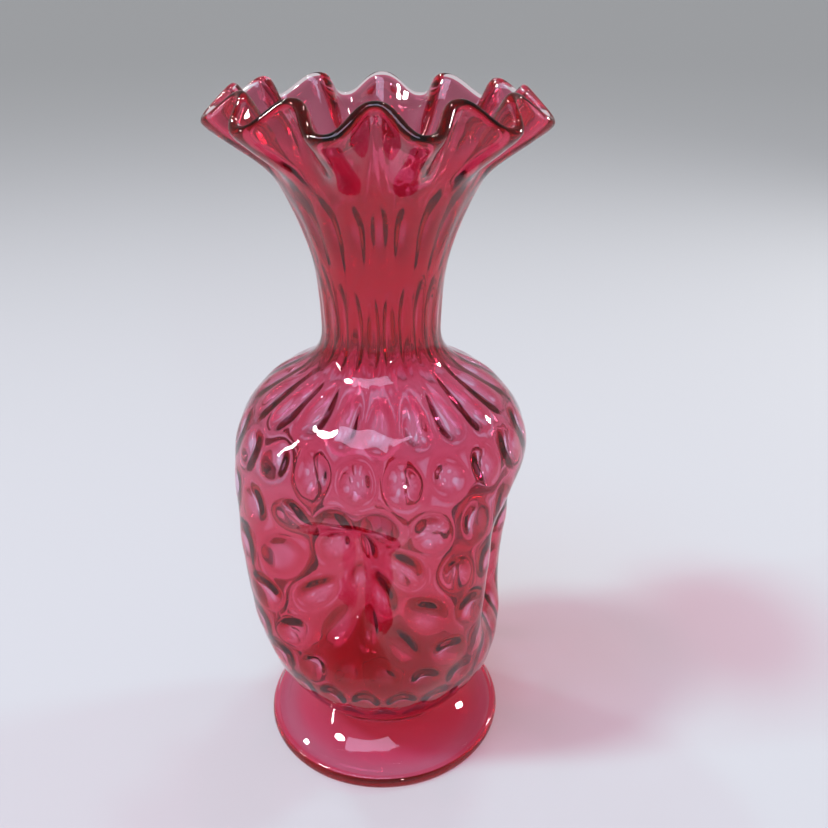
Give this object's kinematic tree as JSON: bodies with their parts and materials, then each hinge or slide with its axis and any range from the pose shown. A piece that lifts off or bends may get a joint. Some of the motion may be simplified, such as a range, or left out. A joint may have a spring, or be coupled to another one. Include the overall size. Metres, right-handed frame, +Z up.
{
  "type": "glass bud vase",
  "caption": "Cased cranberry glass bud vase with pinched sides, a narrow neck, a crimped trumpet lip and a spread foot.",
  "frame": {"origin": "middle of the ring that the foot stands on, at table level", "axes": "+Z up along the vase's axis; the four pinched sides face +X, +Y, -X and -Y"},
  "size_m": [0.1098, 0.1098, 0.2536],
  "materials": {
    "clear_casing_glass": "fire-polished clear glass with a faint rose cast, spot-moulded",
    "ruby_glass": "thin gold-ruby (cranberry) lining, fire-polished",
    "foot_casing_glass": "fire-polished clear glass with a faint rose cast",
    "foot_ruby_glass": "gold-ruby (cranberry) glass, ground flat at the pontil"
  },
  "bodies": {
    "root": {"body_clear_casing": "clear_casing_glass", "body_ruby_lining": "ruby_glass", "foot_clear_casing": "foot_casing_glass", "foot_ruby_core": "foot_ruby_glass"}
  },
  "joints": []
}
